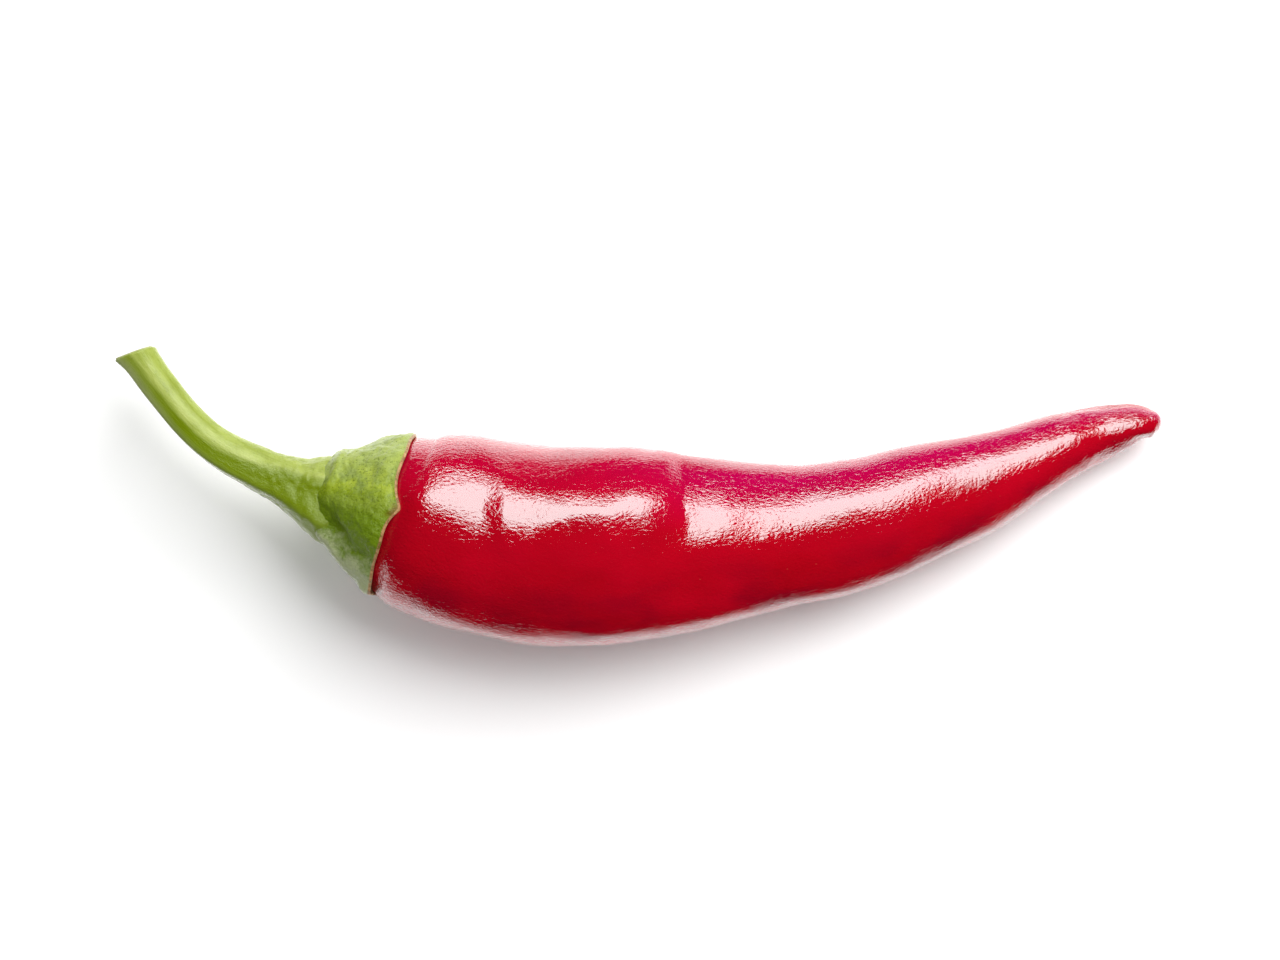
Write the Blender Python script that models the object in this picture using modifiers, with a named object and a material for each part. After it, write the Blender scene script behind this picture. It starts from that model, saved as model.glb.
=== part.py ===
"""A fresh red chilli pepper lying on its side, as picked: the red pod, the green
calyx that caps its shoulder, and the curved green stalk. The scene is in metres.
+X runs from the stalk to the pointed tip, +Z is up, and z = 0 is the surface the
pod rests on. The origin is at the bottom centre of the whole chilli."""

import math

import bmesh
import bpy
from mathutils import Matrix, Vector

MM = 0.001

# --- driving dimensions, in millimetres -------------------------------------
GAP = 0.3  # clearance kept between neighbouring pieces
POD_FLATNESS = 0.95  # pod height as a share of its width
REST_DEPTH = 0.4  # how far the belly settles: it leaves the flat rest face
SHIFT_X, SHIFT_Y = -0.3, -0.1  # centring of the whole chilli on the origin

# Pod sections from the shoulder under the calyx to the tip: x and y of the
# centre, half of the width, and the lift of the underside above the surface.
POD_SECTIONS = (
    (-35.4, -0.6, 2.6, 7.0),
    (-34.6, -0.8, 5.2, 5.0),
    (-33.1, -1.2, 7.2, 3.7),
    (-31.3, -1.7, 8.5, 2.8),
    (-29.8, -2.1, 9.2, 2.3),
    (-28.6, -2.5, 9.9, 1.8),
    (-26.8, -3.0, 10.6, 1.2),
    (-23.4, -3.8, 11.3, 0.7),
    (-18.5, -4.8, 11.8, 0.1),
    (-13.5, -5.6, 12.0, -0.4),
    (-6.7, -6.1, 11.8, -0.4),
    (0.0, -6.0, 11.4, -0.4),
    (4.8, -5.7, 10.8, -0.4),
    (10.3, -5.2, 9.9, -0.3),
    (15.3, -4.8, 9.1, 0.0),
    (20.4, -4.3, 8.6, 0.3),
    (27.2, -2.9, 7.8, 0.5),
    (33.7, -0.8, 7.2, 0.5),
    (40.3, 1.3, 6.2, 0.4),
    (46.7, 4.1, 4.9, 0.3),
    (53.1, 7.0, 3.9, 0.3),
    (57.0, 8.1, 3.2, 0.4),
    (60.0, 8.7, 2.6, 0.5),
    (61.7, 8.7, 1.9, 0.7),
    (62.4, 8.4, 0.9, 1.3),
)
POD_SIDES = 24

# Calyx sections from the collar round the stalk to the rim: x, y, z, radius.
CALYX_SECTIONS = (
    (-37.6, 0.1, 11.6, 4.4),
    (-37.3, 0.0, 11.6, 5.2),
    (-36.7, -0.2, 11.5, 5.9),
    (-35.3, -0.6, 11.5, 7.0),
    (-33.3, -1.1, 11.4, 8.3),
    (-31.6, -1.6, 11.4, 9.2),
    (-30.4, -1.9, 11.3, 9.7),
    (-29.5, -2.2, 11.3, 9.9),
)
CALYX_SIDES = 40
CALYX_LOBES = 5
LOBE_REACH = 0.7  # how far each lobe of the rim reaches along the pod

# Stalk sections from the skew cut end to its foot on the calyx: x, y, z, radius.
STEM_SECTIONS = (
    (-60.3, 17.4, 12.6, 2.15),
    (-60.1, 17.0, 12.6, 2.2),
    (-58.5, 14.6, 12.6, 2.15),
    (-56.3, 11.9, 12.6, 2.1),
    (-54.2, 9.3, 12.6, 2.15),
    (-51.8, 6.9, 12.5, 2.25),
    (-49.0, 5.0, 12.4, 2.5),
    (-46.0, 3.5, 12.2, 2.7),
    (-42.9, 2.1, 12.0, 3.0),
    (-40.4, 1.2, 11.8, 3.7),
    (-38.7, 0.6, 11.7, 4.3),
    (-38.0, 0.4, 11.6, 4.4),
)
STEM_SIDES = 20
STEM_RIDGES = 5
RIDGE_DEPTH = 0.07  # share of the stalk's radius
CUT_SKEW = math.radians(19)  # turn of the cut end away from a square cut

# --- clean scene -------------------------------------------------------------
for old in list(bpy.data.objects):
    bpy.data.objects.remove(old, do_unlink=True)

chilli = bpy.data.collections.new("chilli_pepper")
cutters = bpy.data.collections.new("cutters")
for group in (chilli, cutters):
    bpy.context.scene.collection.children.link(group)
cutters.hide_render = True

root = bpy.data.objects.new("chilli_pepper_root", None)
root.empty_display_size = 0.01
chilli.objects.link(root)


def material(name, colour, roughness):
    """A Principled material with a plain colour (linear RGB)."""
    mat = bpy.data.materials.new(name)
    mat.use_nodes = True
    shader = mat.node_tree.nodes["Principled BSDF"]
    shader.inputs["Base Color"].default_value = (*colour, 1.0)
    shader.inputs["Roughness"].default_value = roughness
    shader.inputs["Metallic"].default_value = 0.0
    mat.diffuse_color = (*colour, 1.0)
    return mat


def spline_share(sides):
    """How much of a ring's radius is left after Subdivision Surface."""
    return (2.0 + math.cos(2.0 * math.pi / sides)) / 3.0


def frames(centres):
    """Side, up and forward directions at each centre along a path."""
    made = []
    for i, centre in enumerate(centres):
        before = centres[max(i - 1, 0)]
        after = centres[min(i + 1, len(centres) - 1)]
        forward = (after - before).normalized()
        side = forward.cross(Vector((0, 0, 1))).normalized()
        up = side.cross(forward).normalized()
        made.append((centre, side, up, forward))
    return made


def loft(name, sections, sides, shape=None, end_turn=0.0, smooth_share=1.0):
    """A closed body through rings. Each section is (x, y, z, half width, half
    height); shape(ring, angle) gives (radius factor, push along the path)."""
    centres = [Vector(s[:3]) * MM for s in sections]
    bm = bmesh.new()
    last = None
    rings = []
    for index, (centre, side, up, forward) in enumerate(frames(centres)):
        if index == 0 and end_turn:
            turn = Matrix.Rotation(end_turn, 3, Vector((0, 0, 1)))
            side = (turn @ side) / math.cos(end_turn)
        half_w, half_h = (v * MM / smooth_share for v in sections[index][3:5])
        ring = bmesh.ops.create_circle(
            bm, segments=sides, radius=1.0, cap_ends=False
        )["verts"]
        for vert in ring:
            angle = math.atan2(vert.co.y, vert.co.x)
            factor, push = shape(index, angle) if shape else (1.0, 0.0)
            vert.co = (
                centre
                + side * (math.cos(angle) * half_w * factor)
                + up * (math.sin(angle) * half_h * factor)
                + forward * (push * MM)
            )
        edges = list({e for v in ring for e in v.link_edges})
        if last is not None:
            bmesh.ops.bridge_loops(bm, edges=last + edges)
        last = edges
        rings.append(ring)
    for ring in (rings[0], rings[-1]):
        bmesh.ops.contextual_create(bm, geom=ring)
    bmesh.ops.recalc_face_normals(bm, faces=bm.faces)
    mesh = bpy.data.meshes.new(name)
    bm.to_mesh(mesh)
    bm.free()
    mesh.shade_smooth()
    mesh.set_sharp_from_angle(angle=math.radians(55))
    obj = bpy.data.objects.new(name, mesh)
    obj.location = (SHIFT_X * MM, SHIFT_Y * MM, 0.0)
    return obj


def subdivide(obj, levels=1):
    modifier = obj.modifiers.new("smooth_skin", "SUBSURF")
    modifier.levels = modifier.render_levels = levels
    return modifier


def cut(obj, name, cutter):
    modifier = obj.modifiers.new(name, "BOOLEAN")
    modifier.operation = "DIFFERENCE"
    modifier.solver = "EXACT"
    modifier.object = cutter


def finish(obj, mat):
    obj.data.materials.append(mat)
    obj.parent = root
    chilli.objects.link(obj)


def helper(obj):
    obj.hide_render = True
    obj.display_type = "WIRE"
    obj.parent = root
    cutters.objects.link(obj)


def pod_sections(grow=0.0):
    """The pod's rings; grow widens them evenly for the clearance cutter."""
    return [
        (x, y, POD_FLATNESS * w + lift, w + grow, POD_FLATNESS * w + grow)
        for x, y, w, lift in POD_SECTIONS
    ]


# --- pod ---------------------------------------------------------------------
pod = loft(
    "pod", pod_sections(), POD_SIDES, smooth_share=spline_share(POD_SIDES)
)
subdivide(pod)
finish(pod, material("pod_red_skin", (0.46, 0.003, 0.012), 0.22))

# The surface under the belly: it takes the settled part off as a true flat.
bm = bmesh.new()
bmesh.ops.create_cube(bm, size=1.0)
bmesh.ops.scale(bm, vec=(0.16, 0.08, 0.02), verts=bm.verts)
bmesh.ops.translate(bm, vec=(0.0, 0.0, -0.01), verts=bm.verts)
mesh = bpy.data.meshes.new("rest_surface_cutter")
bm.to_mesh(mesh)
bm.free()
rest_cutter = bpy.data.objects.new("rest_surface_cutter", mesh)
helper(rest_cutter)
cut(pod, "rest_face", rest_cutter)


# --- calyx -------------------------------------------------------------------
def rim_lobes(ring, angle):
    """Pointed lobes that grow towards the rim, one of them on top."""
    share = max(0.0, (ring - 3) / (len(CALYX_SECTIONS) - 4))
    turn = (angle - math.pi / 2) * CALYX_LOBES / 2.0
    reach = abs(math.cos(turn)) ** 1.5 - 0.5
    fold = 1.0 + 0.012 * share * math.cos(2.0 * turn)
    return fold, LOBE_REACH * share * reach


calyx_cap = [(x, y, z, r, r * 0.97) for x, y, z, r in CALYX_SECTIONS]
calyx = loft("calyx", calyx_cap, CALYX_SIDES, shape=rim_lobes)
finish(calyx, material("calyx_green", (0.22, 0.33, 0.03), 0.55))

shoulder = loft(
    "pod_shoulder_cutter",
    [(s[0] - GAP, *s[1:]) for s in pod_sections(GAP)[:9]],
    POD_SIDES,
    smooth_share=spline_share(POD_SIDES),
)
subdivide(shoulder)
helper(shoulder)
cut(calyx, "hollow_over_shoulder", shoulder)


# --- stem --------------------------------------------------------------------
def ridges(ring, angle):
    """Five soft ridges that run the length of the stalk."""
    return 1.0 + RIDGE_DEPTH * math.cos(STEM_RIDGES * (angle - 0.5)), 0.0


stem_rings = [(x, y, z, r, r) for x, y, z, r in STEM_SECTIONS]
stem = loft(
    "stem",
    stem_rings,
    STEM_SIDES,
    shape=ridges,
    end_turn=-CUT_SKEW,
    smooth_share=spline_share(STEM_SIDES),
)
subdivide(stem)
finish(stem, material("stem_green", (0.32, 0.42, 0.06), 0.5))
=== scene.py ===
"""The looks of the red chilli pepper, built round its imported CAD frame: the glossy
pod with its dents and crazed skin, the mottled calyx and the ridged stalk, on a
plain white floor under one large soft light. Lengths are in millimetres until a
mesh is made; +X runs to the tip and +Z is up."""

import math

import bpy
import numpy as np
from mathutils import Matrix, Vector


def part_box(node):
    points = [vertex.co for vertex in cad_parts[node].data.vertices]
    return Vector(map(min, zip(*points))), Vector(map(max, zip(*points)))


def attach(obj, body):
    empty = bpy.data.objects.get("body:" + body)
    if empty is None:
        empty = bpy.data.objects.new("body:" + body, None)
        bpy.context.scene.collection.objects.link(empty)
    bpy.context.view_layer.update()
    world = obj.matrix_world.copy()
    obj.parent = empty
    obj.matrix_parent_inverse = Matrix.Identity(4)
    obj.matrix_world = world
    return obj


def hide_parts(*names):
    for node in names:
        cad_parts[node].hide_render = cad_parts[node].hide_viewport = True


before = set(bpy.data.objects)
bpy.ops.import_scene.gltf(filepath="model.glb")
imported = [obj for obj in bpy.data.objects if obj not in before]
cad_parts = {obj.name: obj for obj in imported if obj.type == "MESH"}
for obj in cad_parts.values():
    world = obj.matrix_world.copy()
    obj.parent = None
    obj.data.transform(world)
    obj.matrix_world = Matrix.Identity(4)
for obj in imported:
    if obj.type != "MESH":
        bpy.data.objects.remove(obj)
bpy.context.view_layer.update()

MM = 0.001
scene = bpy.context.scene


# --- numbers along the pod ----------------------------------------------------
# x and y of the centre, half width, lift of the underside above the floor
POD = (
    (-35.7, -0.7, 2.6, 7.0),
    (-34.9, -0.9, 5.2, 5.0),
    (-33.4, -1.3, 7.2, 3.7),
    (-31.6, -1.8, 8.75, 2.6),
    (-30.1, -2.2, 9.45, 2.1),
    (-28.9, -2.5, 10.05, 1.7),
    (-27.1, -3, 10.7, 1.45),
    (-23.7, -3.7, 11.5, 0.50),
    (-18.8, -4.7, 12, -0.30),
    (-13.8, -5.5, 12.2, -0.65),
    (-7, -6, 12, -0.52),
    (-0.3, -5.9, 11.6, -0.52),
    (4.5, -5.8, 10.8, 0.0),
    (10.0, -5.3, 9.9, 0.4),
    (15.0, -4.9, 9.1, 0.5),
    (20.1, -4.5, 8.4, 0.6),
    (26.9, -3.0, 7.8, 0.6),
    (33.4, -0.9, 7.2, 0.5),
    (40.0, 1.2, 6.2, 0.4),
    (46.4, 4.0, 4.9, 1.0),
    (49.9, 5.6, 4.35, 1.2),
    (52.4, 6.55, 3.95, 1.25),
    (54.5, 7.3, 3.6, 0.95),
    (56.1, 7.85, 3.3, 0.95),
    (58.0, 8.4, 2.9, 1.55),
    (60.0, 8.8, 2.4, 2.15),
    (61.6, 8.7, 1.9, 2.7),
    (62.6, 8.55, 1.35, 3.2),
    (63.0, 8.4, 0.7, 3.8),
)
FLATNESS = 0.94

# Swellings with soft steps at their edges: from x0 to x1 along the pod (each with
# how gently it starts), from phi0 to phi1 degrees round it, the lean of the two
# ends in mm per 10 degrees, and the height. phi is 0 on top and grows towards +y.
SWELLINGS = (
    (-17.3, 0.75, -7.0, 3.0, -14, 6, 40, 5, -0.5, 0.50),
)
# The crown, the brow that runs along the upper side: x, and the phi at which the
# skin has turned 6, 35 and 50 degrees from level. The first two close together
# make a sharp brow, and far apart a broad one.
CROWN = (
    (-30.0, 12, 26, 50),
    (-26.0, 13, 21, 50),
    (-24.0, 11, 25, 50),
    (-22.0, 8, 29, 51),
    (-20.0, 7, 28, 50),
    (-18.0, 10, 22, 50),
    (-15.5, 6, 24, 53),
    (-13.5, 7, 24, 53),
    (-11.5, 11, 22, 53),
    (-9.0, 16, 22, 53),
    (-6.5, 19, 22, 53),
    (-3.7, 19, 23, 53),
    (-1.0, 18, 29, 52),
    (1.0, 16, 29, 54),
    (3.0, 14, 30, 58),
    (5.0, 11, 31, 62),
    (7.0, 8, 31, 62),
    (9.5, 7, 28, 61),
    (14.5, 3, 26, 58),
    (18.0, 5, 26, 57),
    (22.5, 12, 28, 54),
    (30.0, 11, 26, 54),
    (37.0, 1, 35, 56),
    (44.0, 3, 29, 56),
    (49.5, 0, 21, 56),
    (54.0, -2, 20, 55),
    (58.0, -7, 15, 50),
    (63.0, -7, 15, 50),
)
CROWN_TURNS = (6, 35, 50)
# Ridges and hollows that run along the pod: from x0 to x1 (each with how gently it
# starts), phi of the middle, its width on the lower and the upper side, height.
RIDGES = (
    (-2.4, 0.35, -1.6, 0.35, 40, 8, 25, -0.12),
    (-20.0, 0.8, -17.5, 0.70, 15, 16, 15, -0.42),
)
# Shoulders, where the top turns down into the side: x0 to x1 as above, first and
# last phi, and the drop.
SHOULDERS = ((-28.0, 4.0, 5.0, 2.0, 38, 60, 0.15),)
# Dents and bumps: x, phi, height, half length, half width, turn in degrees.
DENTS = (
    (8.5, -32, -0.30, 5.5, 4.0, -15),
    (14.6, -1, 0.07, 0.7, 0.8, 0),
)
# The waist crease: x, depth, length of its wall on the left and of its tail on the
# right, first and last phi.
CREASE = (5.4, 0.24, 2.4, 6.0, 4, 100)


# --- small helpers ------------------------------------------------------------
def spline(knots, values, at):
    """Cubic through the knots, with slopes taken from the neighbours."""
    k = np.asarray(knots, float)
    v = np.asarray(values, float)
    m = np.gradient(v, k)
    i = np.clip(np.searchsorted(k, at) - 1, 0, len(k) - 2)
    h = k[i + 1] - k[i]
    t = (at - k[i]) / h
    return (
        (2 * t**3 - 3 * t**2 + 1) * v[i]
        + (t**3 - 2 * t**2 + t) * h * m[i]
        + (-2 * t**3 + 3 * t**2) * v[i + 1]
        + (t**3 - t**2) * h * m[i + 1]
    )


def ease(x, a, b):
    t = np.clip((x - a) / (b - a), 0, 1)
    return t * t * (3 - 2 * t)


def sigmoid(t):
    return 1 / (1 + np.exp(-np.clip(t, -40, 40)))


def lattice(ix, iy, iz, seed):
    """A repeatable value in -1..1 for each whole-number point."""
    n = (
        ix.astype(np.int64) * 374761393
        + iy.astype(np.int64) * 668265263
        + iz.astype(np.int64) * 2147483647
        + seed * 974634777
    ) & 0xFFFFFFFF
    n = ((n ^ (n >> 13)) * 1274126177) & 0xFFFFFFFF
    n = (n ^ (n >> 16)) & 0xFFFFFFFF
    return n / 2147483647.5 - 1.0


def noise(p, size, seed=0):
    """Smooth noise of about this feature size, for points (..., 3)."""
    q = p / size
    i = np.floor(q).astype(np.int64)
    f = q - i
    f = f * f * f * (f * (f * 6 - 15) + 10)
    out = 0
    for a in (0, 1):
        for b in (0, 1):
            for c in (0, 1):
                w = (
                    (f[..., 0] if a else 1 - f[..., 0])
                    * (f[..., 1] if b else 1 - f[..., 1])
                    * (f[..., 2] if c else 1 - f[..., 2])
                )
                out = out + w * lattice(i[..., 0] + a, i[..., 1] + b, i[..., 2] + c, seed)
    return out


def normals_of(p):
    """Unit normals of a grid of points; rows run along, columns run round and
    meet themselves."""
    along = np.gradient(p, axis=0)
    round_ = np.roll(p, -1, axis=1) - np.roll(p, 1, axis=1)
    n = np.cross(along, round_)
    return n / (np.linalg.norm(n, axis=-1, keepdims=True) + 1e-12)


def grid_mesh(name, p, attributes=None, flip=False):
    """A closed tube of rings with a pole point at each end. p is rings x sides x
    3, in mm; attributes are named vectors of the same layout."""
    rings, sides = p.shape[:2]
    start, end = p[0].mean(0), p[-1].mean(0)
    verts = np.concatenate([p.reshape(-1, 3), [start, end]]) * MM
    i = np.arange(rings - 1)[:, None] * sides
    j = np.arange(sides)[None, :]
    k = (j + 1) % sides
    quads = np.stack([i + j, i + k, i + sides + k, i + sides + j], -1).reshape(-1, 4)
    a, b = rings * sides, rings * sides + 1
    last = (rings - 1) * sides
    j = np.arange(sides)
    k = (j + 1) % sides
    head = np.stack([np.full(sides, a), k, j], -1)
    tail = np.stack([np.full(sides, b), last + j, last + k], -1)
    if flip:
        quads, head, tail = quads[:, ::-1], head[:, ::-1], tail[:, ::-1]
    faces = quads.tolist() + head.tolist() + tail.tolist()
    mesh = bpy.data.meshes.new(name)
    mesh.from_pydata(verts.tolist(), [], faces)
    # the tube laid flat: one seam, along its length
    u0, u1 = np.arange(sides) / sides, (np.arange(sides) + 1) / sides
    step = np.linalg.norm(np.diff(p.mean(1), axis=0), axis=1)
    step = np.maximum(step, np.linalg.norm(np.diff(p, axis=0), axis=2).mean(1))
    v = np.r_[0, np.cumsum(step)] / step.sum() * 0.96 + 0.02
    uv = np.empty((rings - 1, sides, 4, 2))
    uv[..., 0, 0] = uv[..., 3, 0] = u0
    uv[..., 1, 0] = uv[..., 2, 0] = u1
    uv[:, :, 0, 1] = uv[:, :, 1, 1] = v[:-1, None]
    uv[:, :, 2, 1] = uv[:, :, 3, 1] = v[1:, None]
    ends = np.empty((2, sides, 3, 2))
    ends[:, :, 0, 0] = (u0 + u1) / 2
    ends[0, :, 1:, 0] = np.stack([u1, u0], -1)
    ends[1, :, 1:, 0] = np.stack([u0, u1], -1)
    ends[0, :, 0, 1], ends[1, :, 0, 1] = 0, 1
    ends[0, :, 1:, 1], ends[1, :, 1:, 1] = v[0], v[-1]
    if flip:
        uv, ends = uv[:, :, ::-1], ends[:, :, ::-1]
    layer = mesh.uv_layers.new(name="OFBake")
    layer.data.foreach_set("uv", np.r_[uv.ravel(), ends.ravel()].astype(np.float32))
    for key, values in (attributes or {}).items():
        layer = mesh.attributes.new(key, "FLOAT_VECTOR", "POINT")
        v = values.reshape(-1, 3)
        v = np.concatenate([v, [values[0].mean(0), values[-1].mean(0)]])
        layer.data.foreach_set("vector", v.astype(np.float32).ravel())
    mesh.update()
    mesh.shade_smooth()
    obj = bpy.data.objects.new(name, mesh)
    scene.collection.objects.link(obj)
    return obj


# --- pod ----------------------------------------------------------------------
pod_table = np.array(POD)
pod_reach = np.r_[0, np.cumsum(np.hypot(*np.diff(pod_table[:, :2], axis=0).T))]


def pod_surface(s, phi):
    """Plain pod: points (mm), x of the axis and half width."""
    at = [spline(pod_reach, pod_table[:, c], s) for c in range(4)]
    x, y, w, lift = at
    step = 0.05
    ahead = np.clip(s + step, 0, pod_reach[-1])
    behind = np.clip(s - step, 0, pod_reach[-1])
    dx = spline(pod_reach, pod_table[:, 0], ahead) - spline(pod_reach, pod_table[:, 0], behind)
    dy = spline(pod_reach, pod_table[:, 1], ahead) - spline(pod_reach, pod_table[:, 1], behind)
    n = np.hypot(dx, dy)
    dx, dy = dx / n, dy / n
    z = FLATNESS * w + lift
    p = np.stack(
        [
            x - dy * w * np.sin(phi),
            y + dx * w * np.sin(phi),
            z + FLATNESS * w * np.cos(phi),
        ],
        -1,
    )
    return p, x, w


def crown_relief(x, w, phi):
    """Height that turns the plain round section by the angles in CROWN. It is the
    sum, going round, of the slopes those turns need, and a wider opposite turn on
    each flank brings it back to nothing."""
    deg = np.degrees(phi)
    crown = np.array(CROWN)
    low, high, side = (spline(crown[:, 0], crown[:, c], x) for c in (1, 2, 3))
    at_low, at_high, at_side = (
        turned - at for turned, at in zip(CROWN_TURNS, (low, high, side))
    )
    turn = at_low + (at_high - at_low) * np.clip((deg - low) / (high - low), 0, 1)
    turn = turn + (at_side - at_high) * np.clip((deg - high) / (side - high), 0, 1)
    turn = turn * ease(deg, -20, low) * (1 - ease(deg, side, side + 28))
    step = 2 * np.pi / phi.shape[1]
    rest = turn.sum(1, keepdims=True)
    for first, last, share in ((-62, -16, 0.4), (68, 112, 0.6)):
        lobe = np.sin(np.pi * np.clip((deg - first) / (last - first), 0, 1)) ** 2
        turn = turn - share * rest * lobe / lobe.sum(1, keepdims=True)
    return -np.cumsum(np.radians(turn), axis=1) * step * w


def pod_relief(x, w, phi, straight):
    """Height of the crown, dents, swellings and fine waves over the plain pod."""
    deg = np.degrees(phi)
    h = crown_relief(x, w, phi) * ease(x, -31, -27)
    for x0, a, x1, b, p0, c, p1, d, lean, height in SWELLINGS:
        xs = x - lean * (deg - 15) / 10 - 0.35 * noise(straight, 2.0, 9)
        h += (
            height
            * (sigmoid((xs - x0) / a) - sigmoid((xs - x1) / b))
            * (sigmoid((deg - p0) / c) - sigmoid((deg - p1) / d))
        )
    for bx, bphi, height, lx, ly, turn in DENTS:
        u, v = x - bx, (phi - math.radians(bphi)) * w
        c, s = math.cos(math.radians(turn)), math.sin(math.radians(turn))
        r2 = ((u * c + v * s) / lx) ** 2 + ((v * c - u * s) / ly) ** 2
        h += height * np.exp(-r2 * r2)
    for x0, a, x1, b, middle, low, high, height in RIDGES:
        off = deg - middle
        h += (
            height
            * (sigmoid((x - x0) / a) - sigmoid((x - x1) / b))
            * np.exp(-((off / np.where(off < 0, low, high)) ** 2))
        )
    for x0, a, x1, b, first, last, drop in SHOULDERS:
        h += (
            drop
            * (sigmoid((x - x0) / a) - sigmoid((x - x1) / b))
            * (0.3 - ease(deg, first, last))
        )
    cx, depth, wall, tail, first, last = CREASE
    u = x - cx - 0.18 * noise(straight, 2.4, 6)
    valley = np.where(u < 0, np.clip(1 + u / wall, 0, 1) ** 1.2, np.exp(-np.maximum(u, 0) / tail))
    h -= depth * valley * ease(deg, first - 10, first + 16) * (1 - ease(deg, last - 24, last + 8))
    # slow waves all round, and a fine leathery ripple
    h += 0.06 * noise(straight, 6.5, 1) + 0.03 * noise(straight, 2.6, 2)
    h += 0.010 * noise(straight * [0.8, 1, 1], 1.1, 3)
    under = 1 - ease(deg, -60, -25)
    h += under * (0.15 * noise(straight * [1, 0.7, 0.7], 5.0, 7) + 0.05 * noise(straight, 2.0, 8))
    # the tip is wrinkled
    h += ease(x, 48, 56) * (0.08 * noise(straight, 1.9, 4) + 0.04 * noise(straight, 0.9, 5))
    return h


RINGS, SIDES = 430, 210
s = np.concatenate(
    [
        np.linspace(0.0, 9.0, 40, endpoint=False),
        np.linspace(9.0, pod_reach[-1], RINGS - 40),
    ]
)[:, None] * np.ones((1, SIDES))
phi = (-np.pi + 2 * np.pi * np.arange(SIDES) / SIDES)[None, :] * np.ones((RINGS, 1))
plain, pod_x, pod_w = pod_surface(s, phi)
straight = np.stack([s, pod_w * np.sin(phi), pod_w * np.cos(phi)], -1)
relief = pod_relief(pod_x, pod_w, phi, straight)
fade = ease(s, 1.0, 7.0) * (1 - ease(s, pod_reach[-1] - 2.0, pod_reach[-1]))
pod_points = plain + normals_of(plain) * (relief * fade)[..., None]
# it rests: the belly flattens where it meets the floor
low = pod_points[..., 2]
pod_points[..., 2] = np.where(low < 0.35, 0.35 * np.exp((np.minimum(low, 0.35) - 0.35) / 0.35), low)
pod_points[..., 2] -= pod_points[..., 2].min()
pod = grid_mesh("chilli_pod", pod_points, {"straight": straight}, flip=True)

# --- calyx --------------------------------------------------------------------
# the axis of the cap runs from the stalk's end into the pod's shoulder
CAP_RIM = np.array([-29.75, -2.25, 11.3])
CAP_HEADING = math.radians(-15.5)
cap_along = np.array([math.cos(CAP_HEADING), math.sin(CAP_HEADING), -0.02])
cap_side = np.array([-math.sin(CAP_HEADING), math.cos(CAP_HEADING), 0.0])
cap_up = np.array([0.0, 0.0, 1.0])

# distance back from the rim and radius, from the stalk out to the rim
CAP_PROFILE = (
    (-10.0, 3.2),
    (-9.3, 4.1),
    (-8.6, 4.8),
    (-7.9, 5.4),
    (-7.1, 5.9),
    (-6.0, 6.65),
    (-4.7, 7.6),
    (-3.2, 8.6),
    (-1.8, 9.35),
    (-0.8, 9.75),
    (0.0, 9.9),
)
# teeth of the rim: angle from the top, how far they reach, half width in degrees
CAP_TEETH = (
    (6, 1.25, 9),
    (91, 0.1, 13),
    (158, 0.9, 14),
    (-150, 0.9, 14),
    (-88, 0.9, 12),
)
# ribs that run back from the teeth to the stalk: angle at the rim, drift towards
# the stalk, height, half width
CAP_RIBS = (
    (6, -12, 0.45, 10),
    (48, 8, 0.35, 12),
    (91, 6, 0.12, 13),
    (158, 0, 0.35, 14),
    (-150, 0, 0.35, 14),
    (-70, 34, 0.75, 8),
    (-45, 32, -0.60, 9),
    (-20, 8, 0.32, 8),
    (28, 10, -0.30, 9),
)


def turn_from(a, b):
    """The shorter way from angle b to angle a, in degrees."""
    return (a - b + 180) % 360 - 180


CAP_SIDES = 300
cap_phi = np.degrees(-np.pi + 2 * np.pi * np.arange(CAP_SIDES) / CAP_SIDES)[None, :]
profile = np.array(CAP_PROFILE)
outer_rings = 210
t = np.linspace(0, 1, outer_rings)[:, None]
back = spline(np.linspace(0, 1, len(profile)), profile[:, 0], t)
radius = spline(np.linspace(0, 1, len(profile)), profile[:, 1], t)
rim = -0.35 + sum(
    reach * np.exp(-np.abs(turn_from(cap_phi, at) / wide) ** 1.4) for at, reach, wide in CAP_TEETH
)
rim = rim + 0.12 * np.sin(np.radians(cap_phi * 7 + 40)) * np.sin(np.radians(cap_phi * 3))
back = back + rim * ease(t, 0.35, 1.0) * np.ones((1, CAP_SIDES))
radius = radius * np.ones((1, CAP_SIDES))
ribs = 0
for at, drift, height, wide in CAP_RIBS:
    off = turn_from(cap_phi, at + drift * (1 - t))
    ribs = ribs + height * np.exp(-((off / (wide * (1.6 - 0.6 * t))) ** 2)) * ease(t, 0.02, 0.35) * (
        1 - 0.45 * ease(t, 0.75, 1.0)
    )
radius = radius + ribs
# the shoulder over the stalk stands up on the upper side only
radius = radius + 0.50 * np.exp(-(((t - 0.27) / 0.11) ** 2)) * np.exp(
    -((turn_from(cap_phi, 62) / 48) ** 2)
)
# a tooth's point lifts off the pod a little
lift_off = sum(
    0.28 * np.exp(-((turn_from(cap_phi, at) / 7) ** 2)) for at in (158, -150)
)
radius = radius + lift_off * ease(t, 0.9, 1.0)


def cap_points(back, radius):
    angle = np.radians(cap_phi) * np.ones_like(back)
    return (
        CAP_RIM
        + back[..., None] * cap_along
        + (radius * np.sin(angle))[..., None] * cap_side
        + (radius * np.cos(angle))[..., None] * cap_up * 0.965
    )


outer = cap_points(back, radius)
# wrinkled, warty surface
rough = 0.26 * noise(outer, 3.2, 10) + 0.20 * noise(outer, 1.7, 11) + 0.10 * noise(outer, 0.85, 12) + 0.04 * noise(outer, 0.42, 13)
outer = outer + normals_of(outer) * (rough * ease(t, 0.0, 0.1) * (1 - 0.6 * ease(t, 0.93, 1.0)))[..., None]
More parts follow.
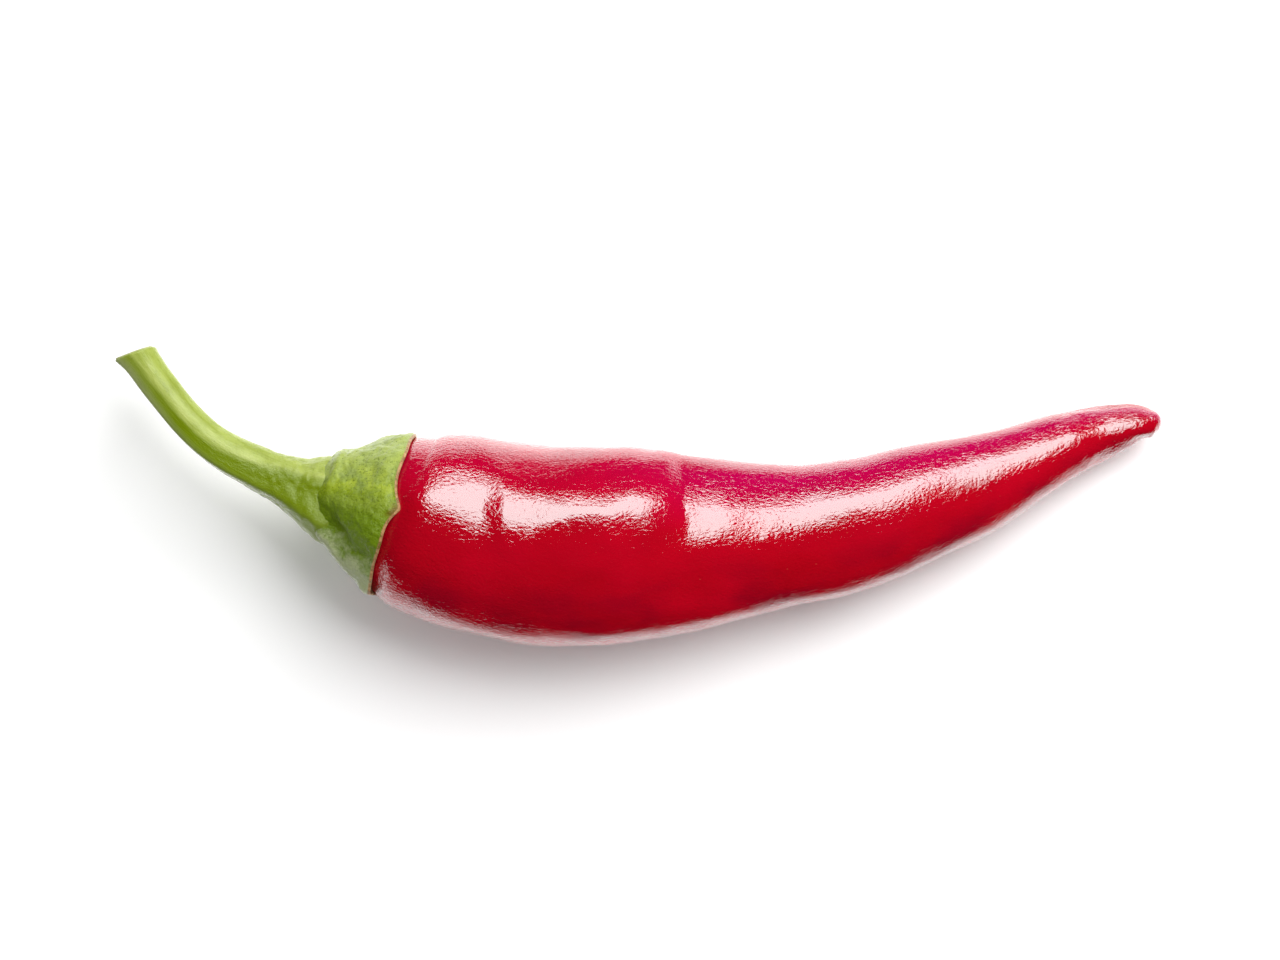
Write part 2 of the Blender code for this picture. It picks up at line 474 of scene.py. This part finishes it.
# over the edge and back inside, against the pod
edge_thick = 0.42
turns = []
for k in np.linspace(0, 1, 9)[1:]:
    a = math.pi * k
    along = edge_thick / 2 * math.sin(a)
    drop = edge_thick / 2 * (1 - math.cos(a))
    turns.append(cap_points(back[-1:] + along, radius[-1:] - drop) + (outer[-1:] - cap_points(back[-1:], radius[-1:])))
inner = []
for k in np.linspace(0, 1, 10)[1:]:
    inner.append(cap_points(back[-1:] - 2.8 * k, radius[-1:] - edge_thick - 3.2 * k))
cap_rings = np.concatenate([outer, *turns, *inner])
rings = len(cap_rings)
# where on the cap: distance back from its own edge, angle, and 1 on the turned edge
from_edge = np.concatenate([back - back[-1:], np.zeros((len(turns), CAP_SIDES)), np.full((len(inner), CAP_SIDES), -0.3)])
on_edge = np.concatenate([ease(back - back[-1:], -0.22, -0.04), np.ones((len(turns) + len(inner), CAP_SIDES))])
cap_place = np.stack([from_edge, np.radians(cap_phi) * np.ones((rings, 1)), on_edge], -1)
ribs = np.concatenate([ribs, np.repeat(ribs[-1:], rings - outer_rings, 0)])
cap_ribs = np.stack([ribs, ribs, ribs], -1)
calyx = grid_mesh("chilli_calyx", cap_rings, {"place": cap_place, "ribs": cap_ribs}, flip=True)

# --- stalk --------------------------------------------------------------------
# x, y, z, radius; from the cut end to the cap
STALK = (
    (-60.65, 17.2, 12.6, 2.25),
    (-59.6, 15.9, 12.6, 2.15),
    (-58.2, 13.9, 12.6, 2.08),
    (-56.6, 11.8, 12.6, 2.08),
    (-54.5, 9.2, 12.6, 2.15),
    (-52.1, 6.8, 12.5, 2.25),
    (-49.3, 4.9, 12.4, 2.45),
    (-46.3, 3.4, 12.2, 2.70),
    (-43.2, 2.0, 12.0, 3.00),
    (-40.9, 1.1, 11.8, 3.50),
    (-39.2, 0.6, 11.7, 4.15),
    (-37.9, 0.3, 11.6, 4.35),
    (-36.4, -0.1, 11.6, 4.00),
)
# the flat sides of the stalk: where each one faces, and how near the middle it is
STALK_SIDES_AT = (
    (-4, 0.97),
    (32, 1.0),
    (68, 1.0),
    (112, 0.98),
    (156, 0.98),
    (-160, 0.98),
    (-118, 0.97),
    (-80, 0.95),
)
stalk = np.array(STALK)
stalk_reach = np.r_[0, np.cumsum(np.linalg.norm(np.diff(stalk[:, :3], axis=0), axis=1))]
STALK_RINGS, STALK_SIDES = 420, 200
s = np.linspace(0, stalk_reach[-1], STALK_RINGS)[:, None]
stalk_phi = (-np.pi + 2 * np.pi * np.arange(STALK_SIDES) / STALK_SIDES)[None, :]
axis = [spline(stalk_reach, stalk[:, c], s) for c in range(4)]
dx, dy = np.gradient(axis[0][:, 0]), np.gradient(axis[1][:, 0])
n = np.hypot(dx, dy)
dx, dy = (dx / n)[:, None], (dy / n)[:, None]
# flat sides with soft corners between them; the chief corner, on the lower side of
# the top, turns slowly round the stalk
turn = 24 * ease(s, 0, 22) - 21
across = 0
for facing, distance in STALK_SIDES_AT:
    toward = np.cos(stalk_phi - np.radians(facing + turn))
    across = across + np.clip(toward / distance, 0, None) ** 10
r = axis[3] * across ** (-1 / 10)
# flares earlier on its lower side, into the cap
below = ease(-np.cos(stalk_phi - math.radians(75)), -0.2, 1.0)
r = r + 0.80 * ease(s, stalk_reach[-1] - 8.0, stalk_reach[-1] - 2.5) * below
r = r + 1.5 * ease(s, stalk_reach[-1] - 4.2, stalk_reach[-1] + 0.3) * below
wave = np.stack([s * np.ones_like(r), axis[3] * np.sin(stalk_phi), axis[3] * np.cos(stalk_phi)], -1)
near_cap = ease(s, 14, stalk_reach[-1] - 2)
r = r + 0.05 * noise(wave * [0.35, 1, 1], 1.5, 21) + 0.05 * noise(wave, 3.2, 22)
r = r + near_cap * (0.16 * noise(wave * [0.6, 1, 1], 1.6, 23) + 0.08 * noise(wave, 0.7, 24))
# a slightly swollen, bevelled cut end, skew to the stalk
r = r * (1 + 0.07 * np.exp(-((s / 1.1) ** 2)))
r = r - 0.30 * (1 - ease(s, 0, 0.35))
skew = math.tan(math.radians(19)) * np.sin(stalk_phi) * r * (1 - ease(s, 0, 6.0))
x = axis[0] - dy * r * np.sin(stalk_phi) + dx * skew
y = axis[1] + dx * r * np.sin(stalk_phi) + dy * skew
z = axis[2] + r * np.cos(stalk_phi)
stalk_points = np.stack([x, y, z], -1)
# the cut face: rings closing to its middle, a little sunk with a pithy centre
face = []
middle = stalk_points[0].mean(0)
for k in np.linspace(0, 1, 16)[:-1]:
    ring = middle + (stalk_points[0] - middle) * max(k, 0.02)
    sink = 0.28 * (1 - k**4) + 0.05 * noise(ring[None] * 1.0, 0.5, 25)[0] * (1 - k)
    heading = np.array([dx[0, 0], dy[0, 0], 0.0])
    face.append(ring + heading * sink[:, None] if np.ndim(sink) else ring + heading * sink)
stalk_points = np.concatenate([np.array(face), stalk_points])
on_face = np.concatenate([np.ones((len(face), STALK_SIDES)), (1 - ease(s, 0, 0.25)) * np.ones((1, STALK_SIDES))])
where = np.concatenate([np.zeros((len(face), 1)), s]) * np.ones((1, STALK_SIDES))
stalk_place = np.stack([where, stalk_phi * np.ones_like(where), on_face], -1)
stem = grid_mesh("chilli_stem", stalk_points, {"place": stalk_place}, flip=True)

# --- camera -------------------------------------------------------------------
camera_data = bpy.data.cameras.new("camera")
camera_data.lens = 100
camera_data.sensor_width = 36
camera_data.clip_start = 0.01
camera_data.clip_end = 50
camera = bpy.data.objects.new("camera", camera_data)
camera.location = (-0.0003, 0.0019, 0.4377)
scene.collection.objects.link(camera)
scene.camera = camera


# --- materials ----------------------------------------------------------------
class Nodes:
    """A short way to write a material's node tree."""

    def __init__(self, name):
        self.mat = bpy.data.materials.new(name)
        self.mat.use_nodes = True
        self.tree = self.mat.node_tree
        self.shader = self.tree.nodes["Principled BSDF"]

    def new(self, kind, **settings):
        node = self.tree.nodes.new(kind)
        for key, value in settings.items():
            setattr(node, key, value)
        return node

    def put(self, socket, value):
        if isinstance(value, bpy.types.NodeSocket):
            self.tree.links.new(value, socket)
        else:
            socket.default_value = value

    def attribute(self, name):
        return self.new("ShaderNodeAttribute", attribute_name=name).outputs["Vector"]

    def scaled(self, vector, by):
        node = self.new("ShaderNodeVectorMath", operation="MULTIPLY")
        self.put(node.inputs[0], vector)
        node.inputs[1].default_value = by
        return node.outputs[0]

    def noise(self, vector, scale, detail=2.0, rough=0.5, distortion=0.0):
        node = self.new("ShaderNodeTexNoise")
        self.put(node.inputs["Vector"], vector)
        node.inputs["Scale"].default_value = scale
        node.inputs["Detail"].default_value = detail
        node.inputs["Roughness"].default_value = rough
        node.inputs["Distortion"].default_value = distortion
        return node.outputs["Fac"]

    def voronoi(self, vector, scale, feature="F1", randomness=1.0, output="Distance"):
        node = self.new("ShaderNodeTexVoronoi", feature=feature)
        self.put(node.inputs["Vector"], vector)
        node.inputs["Scale"].default_value = scale
        node.inputs["Randomness"].default_value = randomness
        return node.outputs[output]

    def ramp(self, value, *stops):
        node = self.new("ShaderNodeValToRGB")
        self.put(node.inputs[0], value)
        elements = node.color_ramp.elements
        while len(elements) < len(stops):
            elements.new(0.5)
        for element, (at, colour) in zip(elements, stops):
            element.position = at
            element.color = (*colour, 1) if len(colour) == 3 else colour
        return node.outputs["Color"]

    def range(self, value, a, b, c=0.0, d=1.0):
        node = self.new("ShaderNodeMapRange")
        self.put(node.inputs["Value"], value)
        for key, v in zip(("From Min", "From Max", "To Min", "To Max"), (a, b, c, d)):
            node.inputs[key].default_value = v
        return node.outputs["Result"]

    def maths(self, operation, a, b=0.0, c=0.0):
        node = self.new("ShaderNodeMath", operation=operation)
        for socket, value in zip(node.inputs, (a, b, c)):
            self.put(socket, value)
        return node.outputs[0]

    def mix(self, factor, a, b, blend="MIX"):
        node = self.new("ShaderNodeMix", data_type="RGBA", blend_type=blend)
        self.put(node.inputs["Factor"], factor)
        for key, value in (("A", a), ("B", b)):
            socket = [i for i in node.inputs if i.name == key and i.type == "RGBA"][0]
            self.put(socket, (*value, 1) if isinstance(value, tuple) else value)
        return [o for o in node.outputs if o.type == "RGBA"][0]

    def parts(self, vector):
        node = self.new("ShaderNodeSeparateXYZ")
        self.put(node.inputs[0], vector)
        return node.outputs

    def bump(self, height, distance, strength=1.0, after=None):
        node = self.new("ShaderNodeBump")
        self.put(node.inputs["Height"], height)
        node.inputs["Distance"].default_value = distance
        node.inputs["Strength"].default_value = strength
        if after is not None:
            self.put(node.inputs["Normal"], after)
        return node.outputs["Normal"]


def red_skin():
    m = Nodes("red_waxy_skin")
    at = m.attribute("straight")
    along = m.parts(at)[0]
    # colour: deep red with slow darker clouds, thickest below as painted shade, a
    # cooler crimson on the upper side as a painted reflection, and a few pale pores
    clouds = m.noise(m.scaled(at, (0.10, 0.16, 0.16)), 1.0, 3.0)
    red = m.ramp(clouds, (0.30, (0.36, 0.0009, 0.007)), (0.70, (0.43, 0.0011, 0.011)))
    pores = m.voronoi(m.scaled(at, (0.55, 1.3, 1.3)), 1.0)
    spots = m.range(pores, 0.045, 0.075, 1.0, 0.0)
    few = m.range(m.noise(m.scaled(at, (0.15, 0.2, 0.2)), 1.0, 1.0), 0.52, 0.60)
    near = m.range(along, 9.0, 16.0, 1.0, 0.25)
    around = m.maths("ARCTAN2", m.parts(at)[1], m.parts(at)[2])
    group = m.maths("MULTIPLY", m.range(around, -1.0, -0.9), m.range(around, -0.65, -0.55, 1.0, 0.0))
    group = m.maths("MULTIPLY", group, m.range(along, 10.5, 12.0, 1.0, 0.0))
    spots = m.maths("MULTIPLY", spots, m.maths("MAXIMUM", m.maths("MULTIPLY", few, near), group))
    # painted reflection: the upper side facing the light turns a cooler crimson, more so from the middle to the tip
    painted_reflection_side = m.maths("MULTIPLY", m.range(around, 0.15, 0.95), m.range(around, 1.0, 1.35, 1.0, 0.1))
    red = m.mix(m.maths("MULTIPLY", painted_reflection_side, m.range(along, 30.0, 50.0, 0.35, 1.0)), red, (0.40, 0.001, 0.062))
    # random darker clouds, weak on top and strong on the lower side away from the light: partly painted shade
    dark = m.noise(m.scaled(at, (0.13, 0.22, 0.22)), 1.0, 2.0, 0.5)
    dark = m.maths("MULTIPLY", m.range(dark, 0.42, 0.62), m.range(around, -0.25, -0.85, 0.15, 0.8))
    red = m.mix(dark, red, (0.265, 0.0009, 0.011))
    m.put(m.shader.inputs["Base Color"], m.mix(spots, red, (0.55, 0.16, 0.09)))
    # crazed skin: fine cells with sunk edges, stretched a little along the pod
    wobble = m.noise(m.scaled(at, (1.2, 1.7, 1.7)), 1.0, 3.0, 0.6, 0.8)
    cells = m.voronoi(m.scaled(at, (1.4, 2.0, 2.0)), 1.0, "DISTANCE_TO_EDGE")
    cells = m.range(cells, 0.0, 0.30)
    height = m.maths("ADD", m.maths("MULTIPLY", cells, 0.24), m.maths("MULTIPLY", wobble, 1.0))
    height = m.maths("MULTIPLY", height, m.range(along, 84.0, 95.0, 1.0, 1.5))
    height = m.maths("MULTIPLY", height, m.range(along, 9.0, 16.0, 1.45, 1.0))
    # finer between the middle of the pod and the waist
    calm = m.maths("MULTIPLY", m.range(along, 21.0, 26.0), m.range(along, 36.0, 40.0, 1.0, 0.0))
    height = m.maths("MULTIPLY", height, m.range(calm, 0.0, 1.0, 1.0, 0.74))
    m.put(m.shader.inputs["Normal"], m.bump(height, 0.055 * MM))
    m.put(
        m.shader.inputs["Roughness"],
        m.range(m.noise(m.scaled(at, (0.5, 0.7, 0.7)), 1.0, 3.0), 0.3, 0.7, 0.035, 0.055),
    )
    m.shader.inputs["IOR"].default_value = 1.5
    m.shader.inputs["Specular IOR Level"].default_value = 0.85
    m.shader.inputs["Specular Tint"].default_value = (0.66, 1.0, 1.0, 1)
    return m.mat


# the lowest corner, in mm, of each CAD node's box that the tables above were drawn for
DRAWN_FOR = {
    "pod": (-37.09, -17.85, 0.0),
    "calyx": (-39.32, -11.74, 1.81),
    "stem": (-62.40, -3.56, 7.52),
}


def anchor(piece, node):
    """Sets the piece on its CAD node, wherever the frame has that."""
    piece.data.transform(Matrix.Translation(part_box(node)[0] - Vector(DRAWN_FOR[node]) * MM))
    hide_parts(node)
    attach(piece, "root")


pod.data.materials.append(red_skin())
anchor(pod, "pod")


def position(m):
    """The point on the piece, in millimetres."""
    return m.scaled(m.new("ShaderNodeNewGeometry").outputs["Position"], (1000, 1000, 1000))


def cap_skin():
    m = Nodes("green_calyx_skin")
    at = position(m)
    place = m.attribute("place")
    back, angle, edge = m.parts(place)
    blotch = m.noise(m.scaled(at, (0.55, 0.55, 0.55)), 1.0, 4.0, 0.6)
    green = m.ramp(blotch, (0.36, (0.11, 0.17, 0.0008)), (0.50, (0.20, 0.275, 0.0015)), (0.64, (0.30, 0.375, 0.015)))
    # fine pale down and dark pores
    down = m.noise(m.scaled(at, (3.6, 3.6, 3.6)), 1.0, 3.0, 0.7)
    # paler along the raised ribs
    green = m.mix(m.range(m.parts(m.attribute("ribs"))[0], 0.25, 0.60, 0.0, 0.45), green, (0.30, 0.35, 0.08))
    # paler on the upper side, a painted sheen; below it a deeper green band of painted shade, then grey with down
    facing = m.maths("SUBTRACT", angle, m.maths("MULTIPLY", m.maths("SUBTRACT", blotch, 0.5), 0.9))
    green = m.mix(m.range(facing, 0.15, 0.85, 0.0, 0.65), green, (0.35, 0.42, 0.12))
    painted_shade = m.maths("MULTIPLY", m.range(facing, 0.25, -0.15, 0.0, 0.9), m.range(facing, -1.0, -0.75))
    green = m.mix(painted_shade, green, (0.105, 0.175, 0.0006))
    grey = m.range(facing, -0.64, -0.92, 0.0, 0.9)
    green = m.mix(grey, green, (0.31, 0.34, 0.20))
    downy = m.maths("MULTIPLY", m.range(down, 0.58, 0.76, 0.0, 0.55), m.range(painted_shade, 0.1, 0.8, 1.0, 0.3))
    green = m.mix(downy, green, (0.36, 0.43, 0.09))
    pores = m.maths("MULTIPLY", m.range(down, 0.44, 0.32, 0.0, 0.8), m.range(grey, 0.0, 0.9, 1.0, 0.4))
    green = m.mix(pores, green, (0.055, 0.09, 0.0005))
    # the dry brown point of the tooth on top
    from_point = m.maths("ABSOLUTE", m.maths("SUBTRACT", angle, 0.07))
    point = m.maths("MULTIPLY", m.range(from_point, 0.11, 0.04, 0.0, 0.8), m.range(back, -1.1, -0.4))
    green = m.mix(point, green, (0.15, 0.075, 0.012))
    # the dry cream edge, broken and browner in places
    ragged = m.noise(m.scaled(at, (1.6, 1.6, 1.6)), 1.0, 3.0, 0.7)
    cream = m.ramp(ragged, (0.35, (0.12, 0.05, 0.02)), (0.52, (0.38, 0.20, 0.08)), (0.7, (0.52, 0.34, 0.16)))
    keep = m.maths("MULTIPLY", edge, m.range(ragged, 0.30, 0.42))
    m.put(m.shader.inputs["Base Color"], m.mix(keep, green, cream))
    bumps = m.maths("ADD", m.maths("MULTIPLY", down, 0.8), m.noise(m.scaled(at, (1.7, 1.7, 1.7)), 1.0, 3.0))
    m.put(m.shader.inputs["Normal"], m.bump(bumps, 0.13 * MM))
    m.put(m.shader.inputs["Roughness"], m.range(down, 0.3, 0.7, 0.28, 0.42))
    m.shader.inputs["Specular IOR Level"].default_value = 0.15
    m.shader.inputs["Sheen Weight"].default_value = 0.02
    m.shader.inputs["Sheen Roughness"].default_value = 0.5
    return m.mat


def stalk_skin():
    m = Nodes("green_stalk_skin")
    at = position(m)
    place = m.attribute("place")
    along, angle, face = m.parts(place)
    # streaks follow the stalk: its own length and angle as coordinates
    wrap = m.new("ShaderNodeCombineXYZ")
    m.put(wrap.inputs[0], m.maths("MULTIPLY", along, 0.22))
    m.put(wrap.inputs[1], m.maths("MULTIPLY", m.maths("SINE", angle), 2.4))
    m.put(wrap.inputs[2], m.maths("MULTIPLY", m.maths("COSINE", angle), 2.4))
    streak = m.noise(wrap.outputs[0], 1.0, 4.0, 0.6)
    fine = m.noise(m.scaled(wrap.outputs[0], (2.5, 3.0, 3.0)), 1.0, 3.0, 0.65)
    green = m.ramp(streak, (0.30, (0.23, 0.285, 0.035)), (0.52, (0.305, 0.37, 0.065)), (0.75, (0.385, 0.44, 0.11)))
    green = m.mix(m.range(fine, 0.58, 0.75, 0.0, 0.5), green, (0.39, 0.44, 0.13))
    # the side below the chief corner is painted a deeper green, as painted shade; the corner turns as it runs
    corner = m.maths("SUBTRACT", m.range(along, 0.0, 22.0, -0.20, 0.10), m.maths("MULTIPLY", m.maths("SUBTRACT", streak, 0.5), 0.35))
    corner = m.maths("ADD", corner, m.range(along, 14.0, 24.0, 0.0, 0.38))
    under = m.range(m.maths("SUBTRACT", angle, corner), 0.10, -0.22)
    painted_shade = m.maths("MULTIPLY", under, m.range(along, 1.0, 10.0, 0.6, 1.0))
    green = m.mix(painted_shade, green, (0.14, 0.20, 0.0008))
    # and greyer again along its lowest edge, most of all near the cut end: a painted reflection of the floor
    low = m.maths("MULTIPLY", m.range(angle, -0.50, -1.05), m.range(along, 3.0, 22.0, 0.85, 0.25))
    green = m.mix(low, green, (0.27, 0.30, 0.14))
    down = m.noise(m.scaled(at, (4.0, 4.0, 4.0)), 1.0, 3.0, 0.7)
    # pale down, more of it near the cap and little on the lower side: partly real down, partly a painted sheen on the
    # lit upper side
    down_and_sheen = m.maths("MULTIPLY", m.range(down, 0.56, 0.72), m.range(along, 12.0, 24.0, 0.25, 0.8))
    down_and_sheen = m.maths("MULTIPLY", down_and_sheen, m.range(under, 0.2, 0.9, 1.0, 0.12))
    green = m.mix(m.maths("MULTIPLY", down_and_sheen, 0.6), green, (0.38, 0.44, 0.13))
    green = m.mix(m.range(down, 0.40, 0.28, 0.0, 0.6), green, (0.10, 0.14, 0.003))
    pith = m.ramp(m.noise(m.scaled(at, (2.2, 2.2, 2.2)), 1.0, 4.0, 0.7), (0.3, (0.30, 0.33, 0.12)), (0.7, (0.62, 0.62, 0.36)))
    m.put(m.shader.inputs["Base Color"], m.mix(face, green, pith))
    bumps = m.maths("ADD", m.maths("MULTIPLY", fine, 0.6), m.maths("MULTIPLY", down, m.range(along, 10.0, 24.0, 0.25, 0.9)))
    m.put(m.shader.inputs["Normal"], m.bump(bumps, 0.09 * MM))
    m.put(m.shader.inputs["Roughness"], m.range(streak, 0.3, 0.7, 0.24, 0.32))
    m.shader.inputs["Specular IOR Level"].default_value = 0.17
    return m.mat


for piece, node, slot, skin in (
    (calyx, "calyx", "calyx_green", cap_skin()),
    (stem, "stem", "stem_green", stalk_skin()),
):
    piece.data.materials.append(skin)
    anchor(piece, node)


# --- stage --------------------------------------------------------------------
def ring_floor(name, inner, outer, centre):
    """A flat ring, or a disc if inner is 0."""
    n = 96
    angle = 2 * np.pi * np.arange(n) / n
    circle = np.stack([np.cos(angle), np.sin(angle), 0 * angle], -1)
    if inner:
        verts = np.concatenate([circle * inner + [*centre, 0], circle * outer])
        faces = [(i, n + i, n + (i + 1) % n, (i + 1) % n) for i in range(n)]
    else:
        verts = circle * outer + [*centre, 0]
        faces = [tuple(range(n))]
    mesh = bpy.data.meshes.new(name)
    mesh.from_pydata(verts.tolist(), [], faces)
    obj = bpy.data.objects.new(name, mesh)
    scene.collection.objects.link(obj)
    return obj


white = Nodes("white_floor")
white.shader.inputs["Base Color"].default_value = (0.97, 0.97, 0.97, 1)
white.shader.inputs["Roughness"].default_value = 1.0
white.shader.inputs["Specular IOR Level"].default_value = 0.0
BOARD, BOARD_AT = 0.45, (0.0, -0.37)
board = ring_floor("floor_board", 0, BOARD, BOARD_AT)
surround = ring_floor("floor_surround", BOARD, 6.0, BOARD_AT)
# what the skin mirrors of the floor is a brighter sheet of its own, a hair above it
# round the object only, and fading out at its edge
CARD = (
    (-75, -45),
    (-25, -37),
    (-5, -37),
    (15, -32),
    (37, -23),
    (105, 0),
    (105, 32),
    (-75, 58),
)
CARD_FADE = 8
outline = np.array(CARD, float)
ahead, behind = np.roll(outline, -1, 0) - outline, outline - np.roll(outline, 1, 0)
out_from = np.stack([ahead[:, 1], -ahead[:, 0]], -1) / np.linalg.norm(ahead, axis=1, keepdims=True)
out_from = out_from + np.stack([behind[:, 1], -behind[:, 0]], -1) / np.linalg.norm(
    behind, axis=1, keepdims=True
)
out_from = out_from / np.linalg.norm(out_from, axis=1, keepdims=True)
card_points = np.concatenate([outline - out_from * CARD_FADE, outline + out_from * CARD_FADE]) * MM
n = len(CARD)
card = bpy.data.meshes.new("floor_mirrored")
card.from_pydata(
    [(x, y, 0.00005) for x, y in card_points.tolist()],
    [],
    [tuple(range(n))] + [(i, n + i, n + (i + 1) % n, (i + 1) % n) for i in range(n)],
)
card.attributes.new("shown", "FLOAT", "POINT").data.foreach_set("value", [1.0] * n + [0.0] * n)
mirrored_floor = bpy.data.objects.new("floor_mirrored", card)
scene.collection.objects.link(mirrored_floor)
fading = Nodes("white_card")
fading.shader.inputs["Base Color"].default_value = (0.97, 0.97, 0.97, 1)
fading.shader.inputs["Roughness"].default_value = 1.0
fading.shader.inputs["Specular IOR Level"].default_value = 0.0
shown = fading.new("ShaderNodeAttribute", attribute_name="shown").outputs["Fac"]
fading.put(fading.shader.inputs["Alpha"], fading.range(shown, 0.0, 1.0))
mirrored_floor.data.materials.append(fading.mat)
for obj in (board, surround):
    obj.data.materials.append(white.mat)
board.visible_glossy = False
surround.visible_glossy = False
mirrored_floor.visible_camera = False
mirrored_floor.visible_diffuse = False
mirrored_floor.visible_transmission = False
mirrored_floor.visible_shadow = False


def soft_light(name, radiance, location, size, glossy):
    """A flat light that faces the object. One is what the gloss mirrors, and the
    other lights the surfaces, so that the two can be set apart."""
    light = bpy.data.lights.new(name, "AREA")
    light.shape = "RECTANGLE"
    light.size, light.size_y = size
    light.energy = radiance * math.pi * size[0] * size[1]
    obj = bpy.data.objects.new(name, light)
    obj.location = location
    obj.rotation_euler = (-obj.location).to_track_quat("-Z", "Y").to_euler()
    obj.visible_camera = False
    obj.visible_glossy = glossy
    obj.visible_diffuse = not glossy
    scene.collection.objects.link(obj)
    return obj


mirrored = soft_light("softbox_mirrored", 10.2, (0.080, 0.386, 0.460), (0.60, 0.74), True)
soft_light("softbox_key", 6.4, (0.200, 0.260, 0.450), (0.45, 0.45), False)

# this one lights only the mirrored sheet of floor
floor_light = soft_light("softbox_floor", 6.2, (0.090, 0.386, 0.460), (0.58, 0.86), False)
lit = bpy.data.collections.new("lit_by_softbox_floor")
lit.objects.link(mirrored_floor)
floor_light.light_linking.receiver_collection = lit

# the mirrored softbox fades towards its edges, as cloth over a lamp does
mirrored.data.use_nodes = True
tree = mirrored.data.node_tree
emit = tree.nodes["Emission"]
emit.inputs["Strength"].default_value = 1.0
spot = tree.nodes.new("ShaderNodeNewGeometry")
split = tree.nodes.new("ShaderNodeSeparateXYZ")
tree.links.new(spot.outputs["Parametric"], split.inputs[0])
fades = []
for axis_out in split.outputs[:2]:
    a = tree.nodes.new("ShaderNodeMath")
    a.operation = "PINGPONG"
    tree.links.new(axis_out, a.inputs[0])
    a.inputs[1].default_value = 0.5
    b = tree.nodes.new("ShaderNodeMapRange")
    b.interpolation_type = "SMOOTHSTEP"
    tree.links.new(a.outputs[0], b.inputs["Value"])
    b.inputs["From Min"].default_value = 0.0
    b.inputs["From Max"].default_value = 0.10
    fades.append(b.outputs["Result"])
both = tree.nodes.new("ShaderNodeMath")
both.operation = "MULTIPLY"
tree.links.new(fades[0], both.inputs[0])
tree.links.new(fades[1], both.inputs[1])
tree.links.new(both.outputs[0], emit.inputs["Strength"])

world = bpy.data.worlds.new("studio")
scene.world = world
world.use_nodes = True
world.node_tree.nodes["Background"].inputs["Color"].default_value = (1, 1, 1, 1)
world.node_tree.nodes["Background"].inputs["Strength"].default_value = 0.49
world.cycles_visibility.glossy = False

scene.view_settings.view_transform = "Standard"
scene.view_settings.look = "None"
scene.view_settings.exposure = 0.0
scene.view_settings.gamma = 1.0
